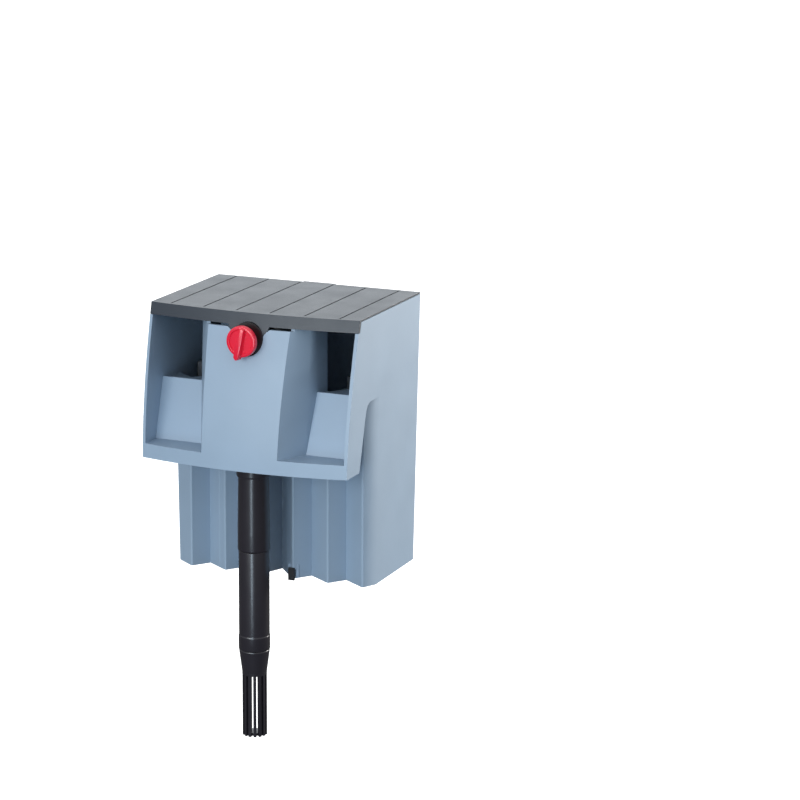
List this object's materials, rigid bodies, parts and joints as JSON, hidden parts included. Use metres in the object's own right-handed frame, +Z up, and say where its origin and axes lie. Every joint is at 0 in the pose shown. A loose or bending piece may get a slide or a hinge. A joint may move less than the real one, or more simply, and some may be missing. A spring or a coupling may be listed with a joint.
{
  "type": "hang on back filter",
  "caption": "Aquarium filter that hangs on the glass: grey tank and hood with spillways, dark lid, red flow knob, black intake tube, pump and lift-out cartridges.",
  "frame": {"origin": "middle of the bridge's flat underside, which rests on the aquarium's rim", "axes": "+X to the right as seen from inside the aquarium, +Y away from the aquarium towards the tank's rear wall, +Z up"},
  "size_m": [0.18, 0.1565, 0.3468],
  "materials": {
    "housing_grey": "satin injection-moulded blue-grey plastic",
    "lid_dark": "satin dark slate plastic",
    "knob_red": "glossy red plastic",
    "tube_black": "satin to glossy black plastic tube",
    "black_plastic": "matte black plastic",
    "grey_plastic": "matte mid-grey plastic",
    "rubber": "matte black rubber",
    "steel": "stainless screws",
    "ceramic": "unglazed white ceramic",
    "magnet": "moulded ferrite magnet",
    "foam_blue": "open-cell blue filter foam",
    "carbon_fleece": "dark fleece filled with activated carbon"
  },
  "bodies": {
    "housing": {"filter_housing": "housing_grey", "spindle_seal": "rubber", "siphon_duct": "black_plastic", "duct_seal": "rubber", "tube_collar": "tube_black", "riser_tube": "tube_black", "pump_motor": "black_plastic", "pump_gasket": "rubber", "pump_cover": "grey_plastic", "cover_screw_1": "steel", "cover_screw_2": "steel", "cover_screw_3": "steel", "cover_screw_4": "steel", "pump_foot_1": "rubber", "pump_foot_2": "rubber", "pump_foot_3": "rubber", "pump_foot_4": "rubber", "pump_shaft": "ceramic", "lower_bush": "rubber", "upper_bush": "rubber", "cord_gland": "rubber"},
    "lid": {"lid": "lid_dark"},
    "knob": {"flow_knob": "knob_red", "flow_valve": "black_plastic"},
    "extension": {"extension_tube": "tube_black", "extension_seal": "rubber"},
    "strainer": {"intake_strainer": "tube_black"},
    "rotor": {"impeller": "grey_plastic", "rotor_magnet": "magnet"},
    "cartridge_right": {"cartridge_frame_right": "grey_plastic", "foam_pad_right": "foam_blue", "carbon_pad_right": "carbon_fleece"},
    "cartridge_left": {"cartridge_frame_left": "grey_plastic", "foam_pad_left": "foam_blue", "carbon_pad_left": "carbon_fleece"},
    "spacer_right": {"glass_spacer_right": "black_plastic"},
    "spacer_left": {"glass_spacer_left": "black_plastic"}
  },
  "joints": [
    {"name": "lid_lift", "type": "slide", "parent": "housing", "child": "lid", "axis": [0, 0, 1], "range_m": [0, 0.4]},
    {"name": "cartridge_right_lift", "type": "slide", "parent": "housing", "child": "cartridge_right", "axis": [0, 0, 1], "range_m": [0, 0.235]},
    {"name": "cartridge_left_lift", "type": "slide", "parent": "housing", "child": "cartridge_left", "axis": [0, 0, 1], "range_m": [0, 0.235]},
    {"name": "knob_turn", "type": "hinge", "parent": "housing", "child": "knob", "pos_m": [0, -0.05, 0.0489], "axis": [0, 1, 0], "range_deg": [-15, 75]},
    {"name": "extension_slide", "type": "slide", "parent": "housing", "child": "extension", "axis": [0, 0, -1], "range_m": [0, 0.045]},
    {"name": "strainer_pull", "type": "slide", "parent": "extension", "child": "strainer", "axis": [0, 0, -1], "range_m": [0, 0.03]},
    {"name": "impeller_spin", "type": "hinge", "parent": "housing", "child": "rotor", "pos_m": [0, 0.045, -0.09], "axis": [0, 0, 1], "continuous": true},
    {"name": "spacer_right_slide", "type": "slide", "parent": "housing", "child": "spacer_right", "axis": [0, -1, 0], "range_m": [0, 0.01]},
    {"name": "spacer_left_slide", "type": "slide", "parent": "housing", "child": "spacer_left", "axis": [0, -1, 0], "range_m": [0, 0.01]}
  ],
  "couplings": [
    {"joint": "cartridge_right_lift", "follows": "lid_lift", "ratio": 0.58},
    {"joint": "cartridge_left_lift", "follows": "lid_lift", "ratio": 0.58}
  ]
}
